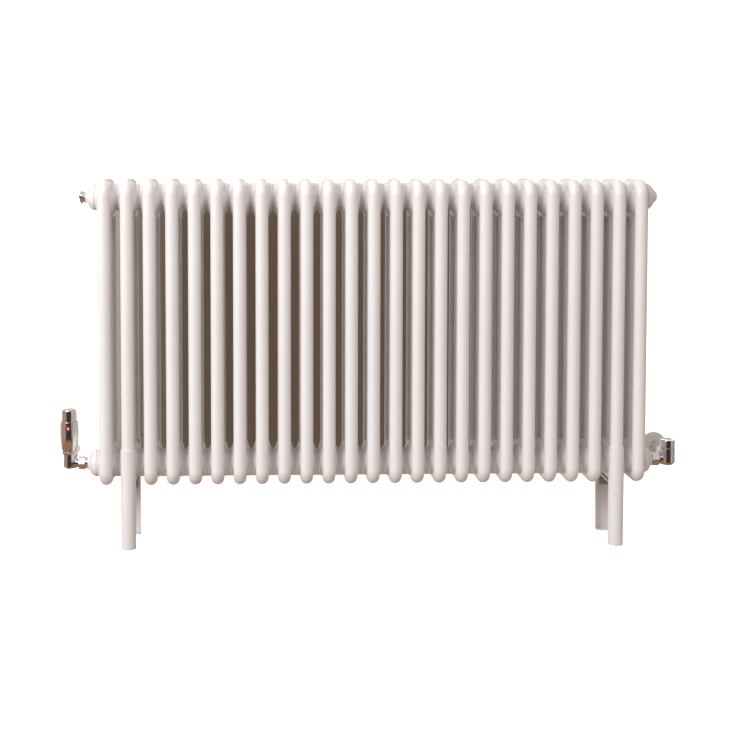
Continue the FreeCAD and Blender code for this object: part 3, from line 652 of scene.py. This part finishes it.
# ---- lockshield cap --------------------------------------------------------------------------
LOCKSHIELD = (LOCKSHIELD_X, 0, LOW_HUB)
close_profile = ([(0, 41.5)] + curve_through([(6.0, 41.5), (12.0, 41.5), (14.3, 40.6), (15.2, 38.3)], 6)
                 + [(15.2, 25.0), (14.7, 24.4), (10.0, 24.4), (9.45, 24.9), (9.45, 39.5), (0, 39.5)])
evened(piece("lockshield_pull_cap", new_mesh("lockshield_pull_cap", *turned(close_profile, LOCKSHIELD, UP, False, 128)),
             "lockshield_cap_group", "chrome_head", "lockshield_cap"))


# ---- feet ------------------------------------------------------------------------------------
FOOT_X = 495.0
FOOT_R = 15.0
FOOT_WALL = 1.7
FOOT_TOP = 202.0


def foot_field(x, y, z):
    """Half-round shell around a front column with its base plate and bridge, at x = 0."""
    from_axis = y + 57.0
    around = np.where(from_axis < 0, length(x, from_axis), np.abs(x))
    behind = from_axis - 6.0
    shell = np.maximum(np.abs(around - FOOT_R + FOOT_WALL / 2) - FOOT_WALL / 2, behind)
    shell = np.maximum(shell, np.maximum(z - FOOT_TOP, -z))
    inside = FOOT_R - FOOT_WALL + 0.3
    tongue = np.maximum(np.maximum(around - inside, from_axis - 13.0), np.abs(z - 1.5) - 1.5)
    tongue = np.maximum(tongue, (np.abs(x) + from_axis - 24.0) * 0.7)
    bridge = round_box(x, from_axis, z, (-inside, 3.5, 99.9), (inside, 6.0, 120.9), 0.2)
    plate_hole = length(x, from_axis) - 3.25
    bolt_hole = length(x, z - 109.9) - 2.6
    bridge = np.maximum(bridge, -bolt_hole)
    tongue = np.maximum(tongue, -plate_hole)
    return smooth_union(smooth_union(shell, tongue, 0.5), bridge, 0.5)


foot_mesh = field_mesh(
    "foot_shell", foot_field, steps(-15.8, 15.8, 0.62), steps(-73.0, -43.0, 0.62),
    chain(steps(-0.8, 5.2, 0.6), steps(5.2, 98.8, 9.4), steps(98.8, 122.0, 1.1), steps(122.0, 200.0, 9.8),
          steps(200.0, 203.2, 0.6)))


def foot_pair(name, mesh, node, back):
    shapes = []
    co = np.array([v.co for v in mesh.vertices]) / MM
    faces = [tuple(p.vertices) for p in mesh.polygons]
    for x in (-FOOT_X, FOOT_X):
        moved = co * (1, -1, 1) if back else co
        turned_faces = [tuple(reversed(f)) for f in faces] if back else faces
        shapes.append((moved + (x, 0, 0), turned_faces))
    made = piece(name, new_mesh(name, *joined(*shapes)), "radiator", "foot_paint", node)
    return evened(made)


foot_pair("front_foot_shells", foot_mesh, "foot_front_shells", False)
foot_pair("back_foot_shells", foot_mesh, "foot_back_shells", True)


# ---- CAD nodes that keep their own shape -----------------------------------------------------
for node, thing in frame["nodes"].items():
    thing.data.materials.clear()
    thing.data.materials.append(LOOKS[NODE_SLOTS[node]])


# ---- stage -----------------------------------------------------------------------------------
def stage_plane(name, corners, material):
    mesh = bpy.data.meshes.new(name)
    mesh.from_pydata(corners, [], [(0, 1, 2, 3)])
    mesh.materials.append(material)
    plane = bpy.data.objects.new(name, mesh)
    bpy.context.scene.collection.objects.link(plane)
    for rays in ("visible_diffuse", "visible_glossy", "visible_transmission", "visible_shadow"):
        setattr(plane, rays, False)
    return plane


def pale_backdrop(name, behind=None):
    """Matt white that the studio light burns out. behind is the colour of a painted shadow: the radiator's soft shade
    put by place onto the backdrop as a brown patch. A backdrop that has one is seen only from its front, so the object
    can be looked at from behind."""
    material = bpy.data.materials.new(name)
    material.use_nodes = True
    nodes = Nodes(material.node_tree)
    material.node_tree.nodes.remove(material.node_tree.nodes["Principled BSDF"])
    matt = nodes.add("ShaderNodeBsdfDiffuse")
    matt.inputs["Color"].default_value = BURNT_OUT
    result = matt.outputs[0]
    if behind:
        spot = nodes.add("ShaderNodeSeparateXYZ")
        nodes.put(spot.inputs[0], nodes.add("ShaderNodeTexCoord").outputs["Object"])
        # painted shadow: a brown patch by place behind the radiator's outline, where its soft shade falls on the wall
        shade = nodes.span(nodes.maths("ABSOLUTE", spot.outputs[0]), 0.547, 0.571, 1.0, 0.0)
        shade = nodes.maths("MULTIPLY", shade, nodes.span(spot.outputs[2], 0.108, 0.165))
        shade = nodes.maths("MULTIPLY", shade, nodes.span(spot.outputs[2], 0.678, 0.732, 1.0, 0.0))
        # painted light: the painted shadow is paler towards the left end, where the light comes in
        painted_light_to_left = nodes.span(spot.outputs[0], -0.36, -0.56)
        painted_shadow_colour = nodes.blend(painted_light_to_left, behind, nodes.blend(0.55, behind, rgb(0.88, 0.78, 0.71)))
        nodes.put(matt.inputs["Color"], nodes.blend(shade, BURNT_OUT, painted_shadow_colour))
        choose = nodes.add("ShaderNodeMixShader")
        nodes.put(choose.inputs[0], nodes.add("ShaderNodeNewGeometry").outputs["Backfacing"])
        nodes.put(choose.inputs[1], matt.outputs[0])
        nodes.put(choose.inputs[2], nodes.add("ShaderNodeBsdfTransparent").outputs[0])
        result = choose.outputs[0]
    nodes.put(material.node_tree.nodes["Material Output"].inputs["Surface"], result)
    return material


BURNT_OUT = rgb(3.0, 3.0, 3.0)
FAR = 9.0
stage_plane("pale_floor", [(-FAR, -FAR, 0), (FAR, -FAR, 0), (FAR, FAR, 0), (-FAR, FAR, 0)],
            pale_backdrop("floor_white"))
WALL = WALL_Y * MM
# the wall has the radiator's shade painted on it as a brown patch: painted shadow
stage_plane("pale_wall", [(-FAR, WALL, 0), (FAR, WALL, 0), (FAR, WALL, FAR), (-FAR, WALL, FAR)],
            pale_backdrop("wall_white_painted_shadow", rgb(0.33, 0.26, 0.205)))


# ---- light -----------------------------------------------------------------------------------
def studio_world():
    """White behind the object, a soft warm fill all round, and a room for the chrome to mirror."""
    world = bpy.data.worlds.new("studio")
    bpy.context.scene.world = world
    world.use_nodes = True
    tree = world.node_tree
    tree.nodes.clear()
    nodes = Nodes(tree)
    direction = nodes.add("ShaderNodeTexCoord").outputs["Generated"]
    split = nodes.add("ShaderNodeSeparateXYZ")
    nodes.put(split.inputs[0], direction)
    x, y, z = split.outputs

    fill = nodes.blend(nodes.span(z, -0.5, 0.6), rgb(0.52, 0.445, 0.415), rgb(1.05, 1.03, 1.03))
    fill = nodes.blend(nodes.span(x, -0.3, 0.8), fill, nodes.blend(0.85, fill, rgb(0.31, 0.245, 0.215)))
    fill = nodes.blend(nodes.span(y, -0.1, 0.5), fill, nodes.blend(0.80, fill, rgb(0.24, 0.18, 0.15)))

    room = nodes.blend(nodes.span(x, -0.25, 0.35), rgb(0.42, 0.285, 0.25), rgb(0.72, 0.70, 0.69))
    room = nodes.blend(nodes.span(y, 0.1, 0.5), room, rgb(0.80, 0.77, 0.75))
    wobble = nodes.maths("MULTIPLY", nodes.maths("SUBTRACT", nodes.noise(direction, 2.2), 0.5), 0.35)
    front = nodes.span(nodes.maths("ADD", nodes.maths("ABSOLUTE", x), wobble), 0.62, 0.50)
    front = nodes.maths("MULTIPLY", front, nodes.span(y, -0.5, -0.62))
    front = nodes.maths("MULTIPLY", front, nodes.span(z, 0.75, 0.6))
    room = nodes.blend(front, room, rgb(0.045, 0.035, 0.035))
    room = nodes.blend(nodes.span(z, -0.30, -0.42), room, rgb(0.36, 0.20, 0.115))
    room = nodes.blend(nodes.span(z, 0.55, 0.8), room, rgb(0.80, 0.78, 0.77))
    patches = nodes.noise(nodes.stretched(direction, (1.0, 1.0, 0.6)), 5.0, 1.0)
    patches = nodes.maths("MULTIPLY", nodes.span(patches, 0.50, 0.55, 0.0, 0.85), nodes.span(x, -0.05, 0.15))
    room = nodes.blend(patches, room, rgb(0.07, 0.055, 0.05))

    path = nodes.add("ShaderNodeLightPath")
    seen = nodes.blend(path.outputs["Is Glossy Ray"], fill, room)
    seen = nodes.blend(path.outputs["Is Camera Ray"], seen, rgb(1.0, 1.0, 1.0))
    background = nodes.add("ShaderNodeBackground")
    nodes.put(background.inputs["Color"], seen)
    nodes.put(nodes.add("ShaderNodeOutputWorld").inputs[0], background.outputs[0])


def soft_light(name, place, aim, size, power, colour):
    data = bpy.data.lights.new(name, "AREA")
    data.shape = "RECTANGLE"
    data.size, data.size_y = size
    data.energy = power
    data.color = colour
    lamp = bpy.data.objects.new(name, data)
    bpy.context.scene.collection.objects.link(lamp)
    lamp.location = place
    lamp.rotation_euler = (Vector(aim) - Vector(place)).to_track_quat("-Z", "Y").to_euler()
    return lamp


studio_world()
CENTRE = (0.0, 0.0, 0.42)
soft_light("key_left", (-1.8, -1.7, 1.8), CENTRE, (1.3, 1.3), 30.0, (0.96, 1.0, 1.01))
soft_light("front_left", (-1.2, -2.4, 2.0), CENTRE, (1.0, 1.0), 14.0, (0.98, 1.0, 1.01))
soft_light("back_fill", (1.6, 2.6, 1.9), CENTRE, (1.8, 1.8), 20.0, (1.0, 0.95, 0.90))


# ---- camera ----------------------------------------------------------------------------------
camera_data = bpy.data.cameras.new("camera")
camera = bpy.data.objects.new("camera", camera_data)
bpy.context.scene.collection.objects.link(camera)
camera_data.lens = 66.96
camera_data.sensor_width = 36.0
camera_data.shift_x = 0.085
camera_data.shift_y = -0.195
camera_data.clip_start, camera_data.clip_end = 0.1, 60.0
camera.location = (-0.22, -2.807, 0.80)
TURN_RIGHT, TILT_DOWN = 1.78, 3.072
camera.rotation_euler = Euler((math.radians(90 - TILT_DOWN), 0, math.radians(-TURN_RIGHT)), "XYZ")
bpy.context.scene.camera = camera
bpy.context.scene.view_settings.view_transform = "Standard"
